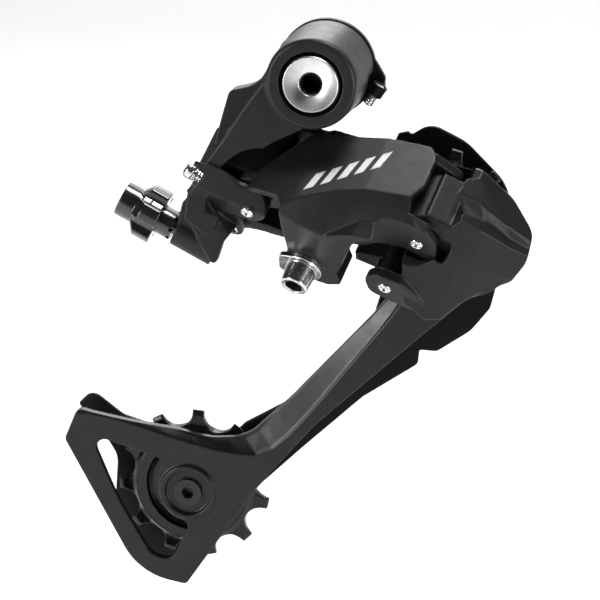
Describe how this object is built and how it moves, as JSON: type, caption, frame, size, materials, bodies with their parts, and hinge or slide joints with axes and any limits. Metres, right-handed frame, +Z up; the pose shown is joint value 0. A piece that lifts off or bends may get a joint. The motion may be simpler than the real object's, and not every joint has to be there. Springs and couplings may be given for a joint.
{
  "type": "rear bicycle derailleur",
  "caption": "Rear bicycle derailleur: hanger bolt and spring knuckle, four-bar linkage, barrel cable adjuster, and a long sprung chain cage with toothed jockey wheels.",
  "frame": {"origin": "on the mounting bolt axis, at the face of the stopper plate that rests on the frame hanger", "axes": "+X forward along the bicycle, +Y inboard towards the wheel along the mounting bolt, +Z up"},
  "size_m": [0.1456, 0.0557, 0.1817],
  "materials": {
    "satin_black_casting": "satin anodised and painted aluminium casting",
    "satin_black_plate": "satin black painted pressed plate",
    "black_steel_plate": "black coated steel",
    "black_adjuster": "semi-gloss black",
    "pulley_resin": "matt black resin",
    "bushing_steel": "ground steel",
    "spring_steel": "oiled spring steel",
    "bright_steel": "bright plated steel",
    "black_bolt": "black oxide"
  },
  "bodies": {
    "hanger_side": {"bracket_axle_bolt": "bright_steel", "stopper_plate": "black_steel_plate", "axle_snap_ring": "spring_steel"},
    "b_tension_screw": {"b_tension_screw": "bright_steel"},
    "bracket": {"bracket_body": "satin_black_casting", "bracket_bushing": "pulley_resin", "bracket_seal": "pulley_resin", "bracket_spring": "spring_steel", "rear_pivot_pins": "bright_steel"},
    "limit_screw_high": {"limit_screw_high": "bright_steel"},
    "limit_screw_low": {"limit_screw_low": "bright_steel"},
    "barrel_adjuster": {"adjuster_knob": "black_adjuster", "adjuster_barrel": "black_adjuster"},
    "outer_link": {"outer_link": "satin_black_casting", "cable_clamp_washer": "bright_steel"},
    "cable_clamp_bolt": {"cable_clamp_bolt": "bright_steel"},
    "inner_link": {"inner_link": "black_steel_plate", "link_spring": "spring_steel"},
    "lower_knuckle": {"plate_body": "satin_black_casting", "front_pivot_pins": "bright_steel", "plate_spring": "spring_steel"},
    "cage": {"outer_cage_plate": "satin_black_plate", "inner_cage_plate": "black_steel_plate", "plate_axle": "bright_steel", "cage_stop_pin": "bright_steel", "guide_pulley_bushing": "bushing_steel", "guide_pulley_caps": "black_steel_plate", "tension_pulley_bushing": "bushing_steel", "tension_pulley_caps": "black_steel_plate"},
    "tension_pulley_bolt": {"tension_pulley_bolt": "black_bolt"},
    "guide_pulley_bolt": {"guide_pulley_bolt": "bright_steel"},
    "guide_pulley": {"guide_pulley": "pulley_resin"},
    "tension_pulley": {"tension_pulley": "pulley_resin"}
  },
  "joints": [
    {"name": "bracket_pivot", "type": "hinge", "parent": "hanger_side", "child": "bracket", "pos_m": [0, -0.013, 0], "axis": [0, -1, 0], "range_deg": [0, 28], "stiffness_Nm_per_rad": 0.6, "springref_deg": -68.75},
    {"name": "b_tension_screw_turn", "type": "hinge", "parent": "hanger_side", "child": "b_tension_screw", "pos_m": [0.0144, -0.0056, -0.0066], "axis": [-0.5593, 0, -0.829], "range_deg": [-1080, 1080]},
    {"name": "limit_screw_high_turn", "type": "hinge", "parent": "bracket", "child": "limit_screw_high", "pos_m": [-0.0332, -0.0202, -0.0304], "axis": [0.79, 0.1, -0.605], "range_deg": [-720, 720]},
    {"name": "limit_screw_low_turn", "type": "hinge", "parent": "bracket", "child": "limit_screw_low", "pos_m": [-0.0336, -0.0132, -0.0329], "axis": [0.79, 0.1, -0.605], "range_deg": [-720, 720]},
    {"name": "barrel_adjuster_turn", "type": "hinge", "parent": "bracket", "child": "barrel_adjuster", "pos_m": [-0.0426, -0.012, -0.0477], "axis": [0.89, 0, -0.456], "range_deg": [-1440, 1440]},
    {"name": "outer_link_pivot", "type": "hinge", "parent": "bracket", "child": "outer_link", "pos_m": [-0.01483, -0.01275, -0.02755], "axis": [0.24, 0.7206, 0.6505], "range_deg": [0, 50], "stiffness_Nm_per_rad": 0.5, "springref_deg": -68.75},
    {"name": "inner_link_pivot", "type": "hinge", "parent": "bracket", "child": "inner_link", "pos_m": [-0.02269, -0.00148, -0.03714], "axis": [0.24, 0.7206, 0.6505], "range_deg": [0, 50]},
    {"name": "lower_knuckle_pivot", "type": "hinge", "parent": "outer_link", "child": "lower_knuckle", "pos_m": [0.03295, -0.01882, -0.03846], "axis": [0.24, 0.7206, 0.6505], "range_deg": [-50, 0]},
    {"name": "cable_clamp_bolt_turn", "type": "hinge", "parent": "outer_link", "child": "cable_clamp_bolt", "pos_m": [-0.00395, -0.01853, -0.05591], "axis": [-0.24, -0.7206, -0.6505], "range_deg": [-720, 720]},
    {"name": "cage_pivot", "type": "hinge", "parent": "lower_knuckle", "child": "cage", "pos_m": [0.0434, -0.005, -0.0476], "axis": [0, -1, 0], "range_deg": [0, 100], "stiffness_Nm_per_rad": 0.35, "springref_deg": -85.94},
    {"name": "guide_pulley_spin", "type": "hinge", "parent": "cage", "child": "guide_pulley", "pos_m": [0.031, 0.0096, -0.049], "axis": [0, -1, 0], "continuous": true},
    {"name": "tension_pulley_spin", "type": "hinge", "parent": "cage", "child": "tension_pulley", "pos_m": [-0.0441, 0.0096, -0.1364], "axis": [0, -1, 0], "continuous": true},
    {"name": "tension_pulley_bolt_turn", "type": "hinge", "parent": "cage", "child": "tension_pulley_bolt", "pos_m": [-0.0441, 0.0096, -0.1364], "axis": [0, -1, 0], "range_deg": [-1800, 1800]},
    {"name": "guide_pulley_bolt_turn", "type": "hinge", "parent": "cage", "child": "guide_pulley_bolt", "pos_m": [0.031, 0.0096, -0.049], "axis": [0, -1, 0], "range_deg": [-1800, 1800]}
  ],
  "couplings": [
    {"joint": "inner_link_pivot", "follows": "outer_link_pivot", "ratio": 1},
    {"joint": "lower_knuckle_pivot", "follows": "outer_link_pivot", "ratio": -1}
  ]
}
